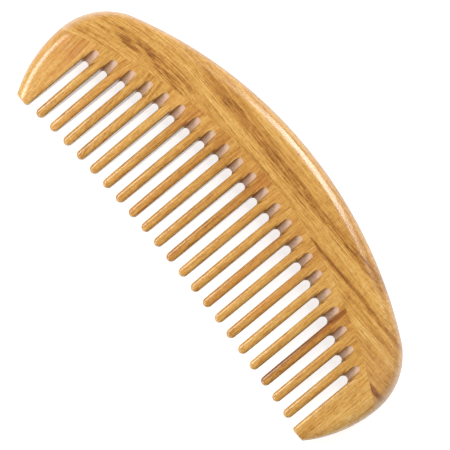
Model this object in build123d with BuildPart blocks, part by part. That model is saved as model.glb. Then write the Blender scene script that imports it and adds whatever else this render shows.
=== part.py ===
from build123d import *
import math
import os

# A wooden comb with wide-set teeth, lying flat on one face.
#
# X runs along the comb, Y from the tooth tips to the back, Z up through the thickness.
# The origin is the middle of the footprint, on the surface that the comb lies on.
# A curved back, the spine, holds 21 narrow teeth and a broad guard tooth at each end.
# Every tooth is a stave of its own: its tongue sits in a groove in the spine's underside,
# and its web is glued edge to edge to the webs of its neighbours.

# Overall size
LENGTH = 180.0
HEIGHT = 69.0
THICKNESS = 11.0

# Outline of the spine
BACK_RADIUS = 169.0
CORNER_RADIUS = 25.4
RIM_ROUNDING = 5.3

# Seam between the spine and the staves, and the groove along it
SEAM_HEIGHT = 51.0
SEAM_RADIUS = 182.0
TONGUE_DEPTH = 5.0
TONGUE_THICKNESS = 4.0
GROOVE_END = 82.0

# Narrow teeth
TEETH = 21
PITCH = 7.05
TOOTH_WIDTH = 3.6
TIP_HEIGHT = 4.0
TIP_ARC_RADIUS = 775.0
TIP_THICKNESS = 4.8
EDGE_ROUNDING = 1.3
SHORTEST_EDGE = 0.1

# Slots: each one ends in two ramps, one from each face, that meet at mid thickness
ROOT_DROP = 8.2
RAMP_LENGTH = 5.6
RAMP_ROUNDING = 1.5
CUTTER_LENGTH = 3.0

# Guard teeth
GUARD_RADIUS = 51.0
GUARD_SECTIONS = 6
TIP_RIM_INSET = 4.2
GUARD_INNER_CORNER = 1.0
GUARD_OUTER_CORNER = 2.2
GUARD_TIP_ROUNDING = 0.9

# Levels and places worked out from the sizes above
MIDDLE = THICKNESS / 2
BACK_LEVEL = HEIGHT / 2
TIP_LEVEL = -HEIGHT / 2
SEAM_CENTRE = (0, TIP_LEVEL + SEAM_HEIGHT - SEAM_RADIUS)
SLOT_WIDTH = PITCH - TOOTH_WIDTH
LAST_SLOT = PITCH * TEETH / 2
GUARD_EDGE = LAST_SLOT + SLOT_WIDTH / 2
CORNER_CENTRE = LENGTH / 2 - CORNER_RADIUS
SHOULDER_DROP = math.sqrt((BACK_RADIUS - CORNER_RADIUS) ** 2 - CORNER_CENTRE**2)
SHOULDER_LEVEL = BACK_LEVEL - BACK_RADIUS + SHOULDER_DROP
GUARD_LENGTH = SHOULDER_LEVEL - TIP_LEVEL


def root_level(x):
    """Level at which the open gap of the slot at x begins."""
    return SEAM_CENTRE[1] + math.sqrt(SEAM_RADIUS**2 - x**2) - ROOT_DROP


def tip_level(x):
    """Level of the end of the tooth at x. The tips follow a very flat arc."""
    return TIP_LEVEL + TIP_HEIGHT - x**2 / (2 * TIP_ARC_RADIUS)


def guard_edge(drop):
    """Place of the right guard tooth's outer edge, at a drop below the shoulder."""
    return LENGTH / 2 - GUARD_RADIUS + math.sqrt(GUARD_RADIUS**2 - drop**2)


def keep_below_seam():
    """Trim the stave being built to the hollow side of the seam."""
    with BuildSketch() as hollow_side:
        with Locations(SEAM_CENTRE):
            Circle(SEAM_RADIUS)
    extrude(hollow_side.sketch, amount=THICKNESS, mode=Mode.INTERSECT)


def draw_groove(left, right):
    """Draw the stretch of the groove between two places along the comb."""
    with Locations(SEAM_CENTRE):
        Circle(SEAM_RADIUS + TONGUE_DEPTH)
        Circle(SEAM_RADIUS - RAMP_ROUNDING, mode=Mode.SUBTRACT)
    with Locations(((left + right) / 2, 0)):
        Rectangle(right - left, HEIGHT, mode=Mode.INTERSECT)


def draw_web(slot, reach):
    """Draw the web that reaches to the right or, if negative, to the left of a slot.

    Along the ramps it stays in the slot, and gradually fills up the tooth's rounded edge.
    """
    side = math.copysign(1, reach)
    wall = side * SLOT_WIDTH / 2
    with Locations((slot, root_level(slot))):
        Polygon(
            (0, -2 * RAMP_ROUNDING),
            (wall, -2 * RAMP_ROUNDING),
            (wall, 0),
            (wall + side * (EDGE_ROUNDING + SHORTEST_EDGE), RAMP_LENGTH),
            (reach, RAMP_LENGTH),
            (reach, HEIGHT),
            (0, HEIGHT),
            align=None,
        )


def cut_ramps(slot):
    """Cut the two ramps of the slot at a place along the comb."""
    with Locations((slot, root_level(slot))):
        add(slot_cutter.part, mode=Mode.SUBTRACT)


def make_stave(number):
    """Make one narrow tooth with its web and tongue. Numbers run from the left end."""
    x = PITCH * (number - (TEETH + 1) / 2)
    tip = tip_level(x)
    root = root_level(x)
    with BuildPart() as stave:
        # A strip as wide as the tooth, thinned towards its round tip, with polished edges
        with BuildSketch():
            with Locations((x, tip + TOOTH_WIDTH / 2)):
                Circle(TOOTH_WIDTH / 2)
                Rectangle(TOOTH_WIDTH, HEIGHT, align=(Align.CENTER, Align.MIN))
        extrude(amount=THICKNESS)
        with BuildSketch(Plane.YZ.offset(x)):
            with BuildLine():
                upper = TangentArc(
                    (root, THICKNESS), (tip, MIDDLE + TIP_THICKNESS / 2), tangent=(-1, 0)
                )
                lower = TangentArc((root, 0), (tip, MIDDLE - TIP_THICKNESS / 2), tangent=(-1, 0))
                Line(upper @ 1, lower @ 1)
                Polyline(upper @ 0, (HEIGHT, THICKNESS), (HEIGHT, 0), lower @ 0)
            make_face()
        extrude(amount=PITCH, both=True, mode=Mode.INTERSECT)
        long_edges = edges().filter_by(lambda edge: edge.bounding_box().size.Y > SHORTEST_EDGE)
        fillet(long_edges, EDGE_ROUNDING)
        # The web on both sides, trimmed to the seam and cut away by the ramps
        with BuildSketch():
            draw_web(x - PITCH / 2, PITCH / 2)
            draw_web(x + PITCH / 2, -PITCH / 2)
        extrude(amount=THICKNESS)
        keep_below_seam()
        cut_ramps(x - PITCH / 2)
        cut_ramps(x + PITCH / 2)
        # The tongue
        with BuildSketch(Plane.XY.offset(MIDDLE - TONGUE_THICKNESS / 2)):
            draw_groove(x - PITCH / 2, x + PITCH / 2)
        extrude(amount=TONGUE_THICKNESS)
    return stave


os.makedirs("parts", exist_ok=True)

# The cutter for the end of a slot, with its origin where the open gap begins.
# Its two sloping floors make the ramps, and their rounded sides leave an arched top.
with BuildPart() as slot_cutter:
    with BuildSketch(Plane.YZ):
        with BuildLine():
            Polyline(
                (0, MIDDLE),
                (2 * RAMP_LENGTH, -MIDDLE),
                (-CUTTER_LENGTH, -MIDDLE),
                (-CUTTER_LENGTH, THICKNESS + MIDDLE),
                (2 * RAMP_LENGTH, THICKNESS + MIDDLE),
                close=True,
            )
        make_face()
    extrude(amount=SLOT_WIDTH / 2, both=True)
    sloping = edges()
    for axis in (Axis.X, Axis.Y, Axis.Z):
        sloping = sloping.filter_by(axis, reverse=True)
    fillet(sloping, RAMP_ROUNDING)

# The spine: a rounded slab, hollowed to the seam, with a stopped groove in its underside
with BuildPart() as spine:
    with BuildSketch():
        with Locations((0, BACK_LEVEL - BACK_RADIUS)):
            Circle(BACK_RADIUS)
        with Locations((0, BACK_LEVEL)):
            Rectangle(LENGTH, HEIGHT, align=(Align.CENTER, Align.MAX), mode=Mode.INTERSECT)
        fillet(vertices().group_by(Axis.Y)[-1], CORNER_RADIUS)
    extrude(amount=THICKNESS)
    rim = edges().filter_by(Axis.Z, reverse=True).filter_by(Axis.X, reverse=True)
    fillet(rim, RIM_ROUNDING)
    with BuildSketch():
        with Locations(SEAM_CENTRE):
            Circle(SEAM_RADIUS)
    extrude(amount=THICKNESS, mode=Mode.SUBTRACT)
    with BuildSketch(Plane.XY.offset(MIDDLE - TONGUE_THICKNESS / 2)):
        draw_groove(-GROOVE_END, GROOVE_END)
    extrude(amount=TONGUE_THICKNESS, mode=Mode.SUBTRACT)
spine.part.label = "spine"
export_step(spine.part, "parts/spine.step")

# The narrow teeth, from the left end to the right
for number in range(1, TEETH + 1):
    stave = make_stave(number)
    stave.part.label = f"tooth_{number:02d}"
    export_step(stave.part, f"parts/tooth_{number:02d}.step")

# The guard teeth: a body that tapers to the tip, a web beside the last slot, and a tongue.
# The rim's rounds flatten into quarter ellipses as the body gets thinner.
with BuildPart() as right_guard_tooth:
    for section in range(GUARD_SECTIONS + 1):
        share = section / GUARD_SECTIONS
        drop = GUARD_LENGTH * share
        half_thickness = (THICKNESS - (THICKNESS - TIP_THICKNESS) * share) / 2
        inset = RIM_ROUNDING - (RIM_ROUNDING - TIP_RIM_INSET) * share
        fall = RIM_ROUNDING * half_thickness / MIDDLE
        with BuildSketch(Plane.XZ.offset(drop - SHOULDER_LEVEL)):
            with BuildLine():
                rim_start = guard_edge(drop) - inset
                rim_level = half_thickness - fall
                upper = EllipticalCenterArc((rim_start, MIDDLE + rim_level), inset, fall)
                lower = EllipticalCenterArc((rim_start, MIDDLE - rim_level), inset, fall, 270)
                Line(lower @ 1, upper @ 0)
                Line(upper @ 1, (GUARD_EDGE, MIDDLE + half_thickness))
                Line((GUARD_EDGE, MIDDLE + half_thickness), (GUARD_EDGE, MIDDLE - half_thickness))
                Line((GUARD_EDGE, MIDDLE - half_thickness), lower @ 0)
            make_face()
            fillet(vertices().group_by(Axis.X)[0], EDGE_ROUNDING)
    loft()
    fillet(faces().sort_by(Axis.Y)[0].edges(), GUARD_TIP_ROUNDING)
    extrude(faces().sort_by(Axis.Y)[-1], amount=HEIGHT / 4)
    with BuildSketch():
        with BuildLine():
            tip_edge = guard_edge(GUARD_LENGTH)
            lean = GUARD_LENGTH / (tip_edge - LENGTH / 2 + GUARD_RADIUS)
            Polyline(
                (GUARD_EDGE, TIP_LEVEL),
                (tip_edge, TIP_LEVEL),
                (tip_edge + lean * HEIGHT, BACK_LEVEL),
                (GUARD_EDGE, BACK_LEVEL),
                close=True,
            )
        make_face()
        tip_corners = vertices().group_by(Axis.Y)[0].sort_by(Axis.X)
        fillet(tip_corners[0], GUARD_INNER_CORNER)
        fillet(tip_corners[1], GUARD_OUTER_CORNER)
    extrude(amount=THICKNESS, mode=Mode.INTERSECT)
    with BuildSketch():
        draw_web(LAST_SLOT, SLOT_WIDTH)
    extrude(amount=THICKNESS)
    keep_below_seam()
    cut_ramps(LAST_SLOT)
    with BuildSketch(Plane.XY.offset(MIDDLE - TONGUE_THICKNESS / 2)):
        draw_groove(LAST_SLOT, GROOVE_END)
    extrude(amount=TONGUE_THICKNESS)
right_guard_tooth.part.label = "right_guard_tooth"
export_step(right_guard_tooth.part, "parts/right_guard_tooth.step")

with BuildPart() as left_guard_tooth:
    mirror(right_guard_tooth.part, about=Plane.YZ)
left_guard_tooth.part.label = "left_guard_tooth"
export_step(left_guard_tooth.part, "parts/left_guard_tooth.step")
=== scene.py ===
import math

import bpy
from mathutils import Matrix, Vector


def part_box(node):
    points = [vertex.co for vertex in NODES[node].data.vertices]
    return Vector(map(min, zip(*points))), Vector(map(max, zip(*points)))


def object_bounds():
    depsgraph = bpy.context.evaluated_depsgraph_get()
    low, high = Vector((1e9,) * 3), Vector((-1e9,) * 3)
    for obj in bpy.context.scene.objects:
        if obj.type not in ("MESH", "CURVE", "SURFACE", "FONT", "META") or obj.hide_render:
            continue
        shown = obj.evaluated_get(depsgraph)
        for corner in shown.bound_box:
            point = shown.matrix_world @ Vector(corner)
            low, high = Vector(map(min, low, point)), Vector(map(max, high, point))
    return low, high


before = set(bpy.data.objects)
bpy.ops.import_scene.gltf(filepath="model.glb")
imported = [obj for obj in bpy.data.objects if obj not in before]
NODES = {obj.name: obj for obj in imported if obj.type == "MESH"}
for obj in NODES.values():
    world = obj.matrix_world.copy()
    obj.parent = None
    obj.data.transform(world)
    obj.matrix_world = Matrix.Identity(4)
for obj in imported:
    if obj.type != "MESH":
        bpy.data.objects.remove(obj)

# A wooden comb, lying flat on a white table and seen from above.
# The row frame: X along the comb, Y from the tooth tips to the back, Z up. Lengths are in metres,
# and the wood's patterns are laid out in millimetres of the same frame.

CAD_BOX = [list(corner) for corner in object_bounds()]
LOW, HIGH = (Vector(corner) for corner in CAD_BOX)
CENTRE = (LOW + HIGH) / 2
MM = 0.001
NARROW_TEETH = sorted(name for name in NODES if name.startswith("tooth_"))


# ---------------------------------------------------------------- colours


def srgb(red, green, blue):
    """A colour given in the 0 to 255 of a picture, as the linear values that shaders take."""
    linear = []
    for value in (red, green, blue):
        share = value / 255
        linear.append(share / 12.92 if share <= 0.04045 else ((share + 0.055) / 1.055) ** 2.4)
    return (*linear, 1)


DARK_BROWN = srgb(138, 82, 30)
BROWN = srgb(184, 124, 50)
HONEY = srgb(213, 156, 74)
GOLD = srgb(230, 178, 94)
PALE_GOLD = srgb(244, 210, 138)
# End grain colours, partly the end grain's own and partly a painted pale reflection
STAVE_END_GRAIN_AND_SHEEN = srgb(240, 202, 174)
SPINE_END_GRAIN_AND_SHEEN = srgb(226, 186, 146)
RED_BROWN = srgb(170, 92, 44)
# Painted shade for walls that stand nearly upright
PAINTED_WALL_SHADE = srgb(112, 68, 34)
ORANGE = srgb(222, 140, 58)
# Painted shade at the spine's right end
PAINTED_SHADE_ROSE_GREY = srgb(190, 150, 140)

# The wood's colour at each tone, from dark to pale
TONES = (
    (0.05, DARK_BROWN),
    (0.28, BROWN),
    (0.50, HONEY),
    (0.70, GOLD),
    (0.95, PALE_GOLD),
)


# ---------------------------------------------------------------- shader building


class Shader:
    """A material under construction. Most methods add a node or two and return an output."""

    def __init__(self, name):
        self.material = bpy.data.materials.new(name)
        self.material.use_nodes = True
        self.tree = self.material.node_tree
        self.tree.nodes.clear()
        coordinates = self.add("ShaderNodeTexCoord").outputs
        self.place = coordinates["Object"]
        self.normal = coordinates["Normal"]

    def add(self, kind, **inputs):
        node = self.tree.nodes.new(kind)
        for name, value in inputs.items():
            self.put(value, node.inputs[name])
        return node

    def put(self, value, socket):
        """Feed a socket with another node's output, or set it to a plain value."""
        if isinstance(value, bpy.types.NodeSocket):
            self.tree.links.new(value, socket)
        else:
            socket.default_value = value

    def math(self, operation, first, second=0.0):
        node = self.add("ShaderNodeMath")
        node.operation = operation
        self.put(first, node.inputs[0])
        self.put(second, node.inputs[1])
        return node.outputs[0]

    def sum(self, *values):
        total = values[0]
        for value in values[1:]:
            total = self.math("ADD", total, value)
        return total

    def times(self, first, second):
        return self.math("MULTIPLY", first, second)

    def size(self, value):
        """The value without its sign."""
        return self.math("ABSOLUTE", value)

    def swing(self, noise, reach):
        """A noise of 0 to 1, made to swing about zero over this reach."""
        return self.times(self.sum(noise, -0.5), reach)

    def split(self, vector):
        return self.add("ShaderNodeSeparateXYZ", Vector=vector).outputs

    def join(self, x, y, z):
        return self.add("ShaderNodeCombineXYZ", X=x, Y=y, Z=z).outputs[0]

    def noise(self, place, detail=2.0, roughness=0.5, distortion=0.0):
        node = self.add(
            "ShaderNodeTexNoise",
            Vector=place,
            Scale=1.0,
            Detail=detail,
            Roughness=roughness,
            Distortion=distortion,
        )
        return node.outputs["Fac"]

    def smooth(self, value, start, end, low=0.0, high=1.0):
        """Go smoothly from low to high as the value goes from start to end."""
        node = self.add("ShaderNodeMapRange")
        node.interpolation_type = "SMOOTHSTEP"
        for index, given in enumerate((value, start, end, low, high)):
            self.put(given, node.inputs[index])
        return node.outputs[0]

    def hill(self, value, centre, half_width, flat):
        """One around the centre, falling to zero at half_width. Flat is the share that is one."""
        away = self.size(self.math("SUBTRACT", value, centre))
        return self.smooth(away, half_width * flat, half_width, 1.0, 0.0)

    def mix(self, share, first, second, blend="MIX"):
        node = self.add("ShaderNodeMix")
        node.data_type = "RGBA"
        node.blend_type = blend
        self.put(share, node.inputs["Factor"])
        self.put(first, node.inputs[6])
        self.put(second, node.inputs[7])
        return node.outputs[2]

    def ramp(self, value, stops):
        node = self.add("ShaderNodeValToRGB", Fac=value)
        elements = node.color_ramp.elements
        while len(elements) < len(stops):
            elements.new(0.5)
        for element, (position, colour) in zip(elements, stops):
            element.position = position
            element.color = colour
        return node.outputs["Color"]

    def finish(self, colour, roughness, height):
        """End in an oiled, polished surface."""
        bump = self.add("ShaderNodeBump", Height=height, Strength=1.0, Distance=BUMP_DISTANCE)
        shader = self.add("ShaderNodeBsdfPrincipled", Roughness=roughness)
        self.put(colour, shader.inputs["Base Color"])
        self.put(bump.outputs[0], shader.inputs["Normal"])
        shader.inputs["IOR"].default_value = 1.5
        shader.inputs["Coat Weight"].default_value = COAT_WEIGHT
        shader.inputs["Coat Roughness"].default_value = COAT_ROUGHNESS
        output = self.add("ShaderNodeOutputMaterial")
        self.put(shader.outputs[0], output.inputs["Surface"])
        return self.material


# ---------------------------------------------------------------- wood

# The noises that make up the figure. The first three numbers are how fast each changes for every
# mm along the fibres, across them and through the thickness. The rest are detail, roughness and,
# where there is any, distortion.
LAYERS = {
    "rings": (0.010, 0.17, 0.10, 3.0, 0.6, 0.5),
    "streaks": (0.040, 0.95, 0.40, 5.0, 0.72, 0.5),
    "lines": (0.060, 2.60, 1.50, 3.0, 0.6, 0.3),
    "dashes": (0.220, 3.40, 2.00, 2.0, 0.6, 0.2),
    "ripple": (1.500, 0.55, 0.50, 3.0, 0.6, 0.8),
    "pores": (0.500, 5.00, 4.00, 1.0, 0.4),
}
SEED_STEP = 17.0

# How much each noise moves the tone. A piece's own contrast scales the broad ones.
BROAD_REACH = {"rings": 0.70, "streaks": 0.95, "lines": 0.80}
FINE_REACH = {"dashes": 0.95, "ripple": 0.45}

# These are all given as Shader.smooth takes them: start, end, low and high.
# End grain shows where a surface faces along the fibres, but not on the tooth tips; its pale colour is
# partly the end grain's own and partly a painted reflection. Nearly upright walls get painted shade. The
# speckle is the end grain's brightness.
SPINE_END_GRAIN_AND_SHEEN_RANGE = (0.25, 0.85, 0.0, 0.7)
STAVE_END_GRAIN_AND_SHEEN_RANGE = (0.45, 0.68, 0.0, 0.9)
ABOVE_TIPS_RANGE = (-24.0, -20.0)
PORE_RANGE = (0.62, 0.72, 0.0, 0.55)
PAINTED_WALL_SHADE_RANGE = (0.64, 0.08, 0.0, 0.76)
SPECKLE_RANGE = (0.3, 0.7, 0.9, 1.08)

# The spine's fibres bend down towards its left end, from this far left of the middle, in mm
BEND_START = 40.0
BEND = 0.0045

# How rough the polish is, and what the fine lines, the pores and the end grain add to it
POLISH = 0.26
LINE_ROUGHNESS = 0.14
PORE_ROUGHNESS = 0.3
END_ROUGHNESS = 0.25
LINE_HEIGHT = 0.6
PORE_HEIGHT = -1.5
BUMP_DISTANCE = 0.00003
COAT_WEIGHT = 0.75
COAT_ROUGHNESS = 0.20


def figure_layers(shader, along, across, depth, seed):
    """The noises that make up the wood's figure, at places in mm."""
    aside = shader.sum(across, seed * SEED_STEP)
    layers = {}
    for name, (lengthwise, crosswise, through, *settings) in LAYERS.items():
        place = shader.join(
            shader.times(along, lengthwise), shader.times(aside, crosswise), shader.times(depth, through)
        )
        layers[name] = shader.noise(place, *settings)
    return layers


def bent_fibres(shader, x, y):
    """Across the spine's fibres, which lie along X and bend down at the left end."""
    left_end = shader.math("MAXIMUM", shader.sum(shader.times(x, -1.0), -BEND_START), 0.0)
    return shader.sum(y, shader.times(shader.times(left_end, left_end), BEND))


def wood(name, along_axis, seed, shift, contrast, tilt, extra_tone, tint):
    """Polished wood with its fibres along one axis of the row frame.

    The tone runs from 0, dark brown, to 1, pale gold. The shift moves all of it, and the tilt
    leans the fibres of a stave by so many mm across for each mm along. Extra tone, if any, and
    tint are functions for what one piece has of its own.
    """
    shader = Shader(name)
    x, y, z = (shader.times(value, 1 / MM) for value in shader.split(shader.place))
    normal_x, normal_y, normal_z = shader.split(shader.normal)
    if along_axis == "X":
        along, across = x, bent_fibres(shader, x, y)
        end_grain_and_sheen_colour = SPINE_END_GRAIN_AND_SHEEN
        end_grain_and_sheen = shader.smooth(shader.size(normal_x), *SPINE_END_GRAIN_AND_SHEEN_RANGE)
    else:
        along, across = y, shader.sum(x, shader.times(y, tilt))
        end_grain_and_sheen_colour = STAVE_END_GRAIN_AND_SHEEN
        end_grain_and_sheen = shader.smooth(shader.size(normal_y), *STAVE_END_GRAIN_AND_SHEEN_RANGE)
        end_grain_and_sheen = shader.times(end_grain_and_sheen, shader.smooth(y, *ABOVE_TIPS_RANGE))
    layers = figure_layers(shader, along, across, z, seed)

    tone = 0.5 + shift
    for layer, reach in BROAD_REACH.items():
        tone = shader.sum(tone, shader.swing(layers[layer], reach * contrast))
    for layer, reach in FINE_REACH.items():
        tone = shader.sum(tone, shader.swing(layers[layer], reach))
    if extra_tone:
        tone = shader.sum(tone, extra_tone(shader, x, y, across))

    pores = shader.smooth(layers["pores"], *PORE_RANGE)
    colour = shader.mix(pores, shader.ramp(tone, TONES), DARK_BROWN)
    colour = tint(shader, colour, x, y, across)
    # Painted shade: walls that are nearly upright, the tooth sides and the rims, are darkened towards a
    # dark brown.
    wall_shade = shader.smooth(shader.size(normal_z), *PAINTED_WALL_SHADE_RANGE)
    colour = shader.mix(wall_shade, colour, PAINTED_WALL_SHADE)
    speckle = shader.smooth(layers["dashes"], *SPECKLE_RANGE)
    # End grain, with a painted pale reflection in its colour, where a surface faces along the fibres
    end_grain_and_sheen_tinted = shader.mix(1.0, end_grain_and_sheen_colour, shader.join(speckle, speckle, speckle), "MULTIPLY")
    colour = shader.mix(end_grain_and_sheen, colour, end_grain_and_sheen_tinted)

    roughness = shader.sum(
        shader.times(layers["lines"], LINE_ROUGHNESS),
        shader.times(pores, PORE_ROUGHNESS),
        shader.times(end_grain_and_sheen, END_ROUGHNESS),
        POLISH,
    )
    height = shader.sum(shader.times(layers["lines"], LINE_HEIGHT), shader.times(pores, PORE_HEIGHT))
    return shader.finish(colour, roughness, height)


# ---------------------------------------------------------------- the spine's own look


def spine_figure(shader, x, y, across):
    """The spine's own bands and streaks, added to its tone: dark is negative."""

    def wave(seed, size, reach):
        place = shader.join(shader.times(x, size), seed, 3.0)
        return shader.swing(shader.noise(place), reach)

    def ragged(lengthwise, crosswise, seed):
        place = shader.join(shader.times(x, lengthwise), shader.times(across, crosswise), seed)
        return shader.noise(place, 4.0, 0.7, 0.6)

    def band(level, half_width, flat, centre, half_length, fade, strength, rag=None):
        hill = shader.times(
            shader.hill(line, level, half_width, flat), shader.hill(x, centre, half_length, fade)
        )
        if rag:
            hill = shader.times(hill, rag)
        return shader.times(hill, strength)

    line = shader.sum(across, wave(1.0, 0.03, 2.2), wave(5.0, 0.16, 0.7))
    curls = shader.smooth(ragged(0.11, 0.95, 7.0), 0.40, 0.62)
    soft_curls = shader.smooth(curls, 0.0, 1.0, 0.55, 1.0)
    threads = shader.smooth(ragged(0.05, 1.9, 11.0), 0.50, 0.64)
    # Across the spine: the level and half width in mm, and the share of it that is even.
    # Along it: the same three. Then the strength, and what breaks the band up.
    return shader.sum(
        band(28.4, 3.0, 0.3, 5.0, 75.0, 0.6, 0.06),
        band(26.2, 1.2, 0.2, 18.0, 60.0, 0.5, -0.16, threads),
        band(23.2, 2.1, 0.5, 10.0, 62.0, 0.6, -0.38, soft_curls),
        band(20.6, 2.0, 0.3, -12.0, 66.0, 0.6, -0.36, threads),
        band(19.0, 2.0, 0.3, 6.0, 74.0, 0.6, 0.10),
        band(17.4, 1.4, 0.2, -22.0, 40.0, 0.6, -0.30, threads),
        band(14.4, 1.3, 0.1, 54.0, 34.0, 0.6, -0.36),
        band(10.6, 2.4, 0.3, 66.0, 24.0, 0.6, -0.18, threads),
        band(8.0, 1.2, 0.3, 72.0, 16.0, 0.6, 0.16),
        band(-2.8, 1.5, 0.2, 85.0, 7.0, 0.5, -0.46),
        band(13.4, 3.2, 0.3, -60.0, 26.0, 0.4, -0.40, curls),
        band(17.0, 3.4, 0.2, -66.0, 30.0, 0.4, -0.20, threads),
        band(9.0, 5.0, 0.2, -78.0, 16.0, 0.3, -0.14, curls),
        band(3.0, 4.0, 0.2, -82.0, 14.0, 0.3, 0.16),
    )


def painted_right_end_shade(shader, colour, x, y, across):
    """Painted shade: the spine gets a little greyer and rosier towards the right end."""
    return shader.mix(shader.smooth(x, 60.0, 90.0, 0.0, 0.12), colour, PAINTED_SHADE_ROSE_GREY)


# ---------------------------------------------------------------- the teeth's own looks

# What a narrow tooth's stave can look like: the tone's shift, how orange the stave is, how red
# its root is, and the fibres' tilt
STAVE_LOOKS = {
    "plain": (0.0, 0.15, 0.1, 0.0),
    "greenish": (-0.02, 0.0, 0.1, 0.02),
    "orange": (0.0, 0.55, 0.2, -0.16),
    "feathered": (0.0, 0.0, 0.0, 0.22),
    "red_root": (-0.02, 0.25, 0.75, -0.02),
    "reddish": (-0.10, 0.35, 1.0, 0.03),
    "warm": (-0.02, 0.5, 0.35, 0.02),
    "dark": (-0.09, 0.3, 0.6, 0.01),
    "pale": (0.09, 0.05, 0.15, 0.03),
    "golden": (0.05, 0.2, 0.1, -0.02),
}
# The narrow teeth's staves from the left end to the right
STAVES = (
    "greenish orange feathered feathered golden red_root plain warm plain plain reddish "
    "golden plain warm golden warm pale pale dark plain pale"
).split()
FIRST_STAVE_SEED = 3.0
STAVE_CONTRAST = 0.75
GUARD_CONTRAST = 0.6

# The radius in mm of the seam between the spine and the staves, whose middle is the highest
SEAM_RADIUS = 182.0


def stave_tint(orange, red_root):
    """Make the colouring of a stave: a warm cast, more of it in slow patches, and a red root."""

    def tint(shader, colour, x, y, across):
        patch_place = shader.join(shader.times(across, 0.35), shader.times(y, 0.045), 9.0)
        patches = shader.smooth(shader.noise(patch_place), 0.35, 0.7)
        colour = shader.mix(shader.times(patches, 0.6 * orange), colour, ORANGE)
        streak_place = shader.join(shader.times(across, 1.4), shader.times(y, 0.05), 2.0)
        streak = shader.smooth(shader.noise(streak_place, 3.0, 0.6), 0.42, 0.62)
        seam_drop = shader.times(shader.times(x, x), 1 / (2 * SEAM_RADIUS))
        root = shader.smooth(shader.sum(y, seam_drop), -2.0, 10.0)
        return shader.mix(shader.times(shader.times(root, streak), 0.75 * red_root), colour, RED_BROWN)

    return tint


def dark_side(centre, offset=-1.2, half_width=1.1, strength=-0.35):
    """A dark streak down the left side of the stave with this centre, in mm along the comb."""

    def tone(shader, x, y, across):
        streak = shader.hill(shader.sum(x, -centre), offset, half_width, 0.2)
        return shader.times(streak, strength)

    return tone


def guard_streaks(centre, half_width, strength):
    """Upright dark streaks in a guard tooth, around a place along the comb."""

    def tone(shader, x, y, across):
        place = shader.join(shader.times(across, 0.9), shader.times(y, 0.02), 4.0)
        streaks = shader.smooth(shader.noise(place, 3.0, 0.6), 0.42, 0.62)
        near = shader.hill(across, centre, half_width, 0.3)
        return shader.times(shader.times(streaks, near), strength)

    return tone


# ---------------------------------------------------------------- dressing the CAD nodes


def dress(name, material):
    """Give a CAD node's mesh its material."""
    for slot in NODES[name].material_slots:
        slot.material = material


def dress_spine():
    look = wood(
        "spine_look",
        along_axis="X",
        seed=1.0,
        shift=0.02,
        contrast=0.8,
        tilt=0.0,
        extra_tone=spine_figure,
        tint=painted_right_end_shade,
    )
    dress("spine", look)


def dress_narrow_teeth():
    for index, (name, stave) in enumerate(zip(NARROW_TEETH, STAVES)):
        shift, orange, red_root, tilt = STAVE_LOOKS[stave]
        low, high = (Vector(corner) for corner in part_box(name))
        centre = (low.x + high.x) / 2 / MM
        look = wood(
            name + "_look",
            along_axis="Y",
            seed=FIRST_STAVE_SEED + index,
            shift=shift,
            contrast=STAVE_CONTRAST,
            tilt=tilt,
            extra_tone=dark_side(centre) if stave == "dark" else None,
            tint=stave_tint(orange, red_root),
        )
        dress(name, look)


def dress_guard_teeth():
    left_look = wood(
        "left_guard_look",
        along_axis="Y",
        seed=31.0,
        shift=0.13,
        contrast=GUARD_CONTRAST,
        tilt=0.12,
        extra_tone=guard_streaks(-79.0, 9.0, -0.14),
        tint=stave_tint(0.6, 0.5),
    )
    right_look = wood(
        "right_guard_look",
        along_axis="Y",
        seed=37.0,
        shift=0.19,
        contrast=GUARD_CONTRAST,
        tilt=0.03,
        extra_tone=guard_streaks(79.0, 8.0, -0.18),
        tint=stave_tint(0.2, 0.1),
    )
    dress("left_guard_tooth", left_look)
    dress("right_guard_tooth", right_look)


dress_spine()
dress_narrow_teeth()
dress_guard_teeth()


# ---------------------------------------------------------------- table, light and camera

TABLE_SIZE = 4.0
TABLE_COLOUR = (0.56, 0.56, 0.565, 1)
TABLE_GLOW = 0.76
SKY_COLOUR = (0.97, 0.98, 1.0, 1)
SKY_STRENGTH = 0.13

# The camera looks down at the aim from a little to its right, and is rolled so that the comb
# lies diagonally in the picture
CAMERA_DISTANCE = 1.04
CAMERA_OFFSET = Vector((0.049, 0.0, 0.0))
AIM = Vector((0.0036, -0.0063, 0.008))
ROLL = math.radians(50.5)
LENS = 230.2


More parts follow.
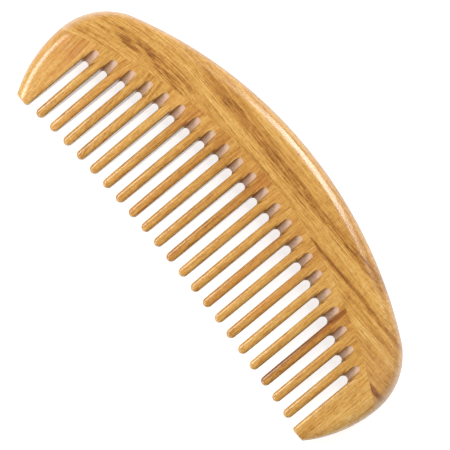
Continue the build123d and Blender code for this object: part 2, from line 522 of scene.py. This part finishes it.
def make_table():
    """A white table with a soft glow of its own, which keeps it white between the teeth."""
    bpy.ops.mesh.primitive_plane_add(size=TABLE_SIZE, location=(CENTRE.x, CENTRE.y, LOW.z))
    table = bpy.context.object
    table.name = "table"
    material = bpy.data.materials.new("white_table")
    material.use_nodes = True
    shader = material.node_tree.nodes["Principled BSDF"]
    shader.inputs["Base Color"].default_value = TABLE_COLOUR
    shader.inputs["Roughness"].default_value = 0.9
    shader.inputs["Specular IOR Level"].default_value = 0.0
    shader.inputs["Emission Color"].default_value = (1, 1, 1, 1)
    shader.inputs["Emission Strength"].default_value = TABLE_GLOW
    table.data.materials.append(material)


def make_world():
    world = bpy.data.worlds.new("studio")
    world.use_nodes = True
    background = world.node_tree.nodes["Background"]
    background.inputs["Color"].default_value = SKY_COLOUR
    background.inputs["Strength"].default_value = SKY_STRENGTH
    bpy.context.scene.world = world


def make_softbox(name, azimuth, elevation, distance, width, height, power):
    """A soft light aimed at the comb. Azimuth is measured from +X towards +Y, in degrees."""
    a, e = math.radians(azimuth), math.radians(elevation)
    direction = Vector((math.cos(a) * math.cos(e), math.sin(a) * math.cos(e), math.sin(e)))
    lamp = bpy.data.lights.new(name, "AREA")
    lamp.shape = "RECTANGLE"
    lamp.size = width
    lamp.size_y = height
    lamp.energy = power
    light = bpy.data.objects.new(name, lamp)
    light.location = CENTRE + direction * distance
    light.rotation_mode = "QUATERNION"
    light.rotation_quaternion = direction.to_track_quat("Z", "Y")
    bpy.context.scene.collection.objects.link(light)


def make_camera():
    lens = bpy.data.cameras.new("camera")
    lens.lens = LENS
    lens.sensor_width = 36.0
    lens.clip_start = 0.05
    lens.clip_end = 20.0
    camera = bpy.data.objects.new("camera", lens)
    bpy.context.scene.collection.objects.link(camera)
    eye = AIM + CAMERA_OFFSET + Vector((0, 0, CAMERA_DISTANCE))
    back = (eye - AIM).normalized()
    up = Vector((-math.sin(ROLL), math.cos(ROLL), 0))
    right = up.cross(back).normalized()
    up = back.cross(right)
    camera.matrix_world = Matrix.Translation(eye) @ Matrix((right, up, back)).transposed().to_4x4()
    bpy.context.scene.camera = camera


make_table()
make_world()
make_softbox("back_softbox", 91, 37, 0.80, 0.26, 0.56, 5.0)
make_softbox("left_softbox", 214, 45, 0.80, 0.34, 0.34, 3.1)
make_softbox("front_softbox", 262, 30, 1.00, 0.60, 0.30, 3.9)
make_camera()
bpy.context.scene.view_settings.view_transform = "Standard"
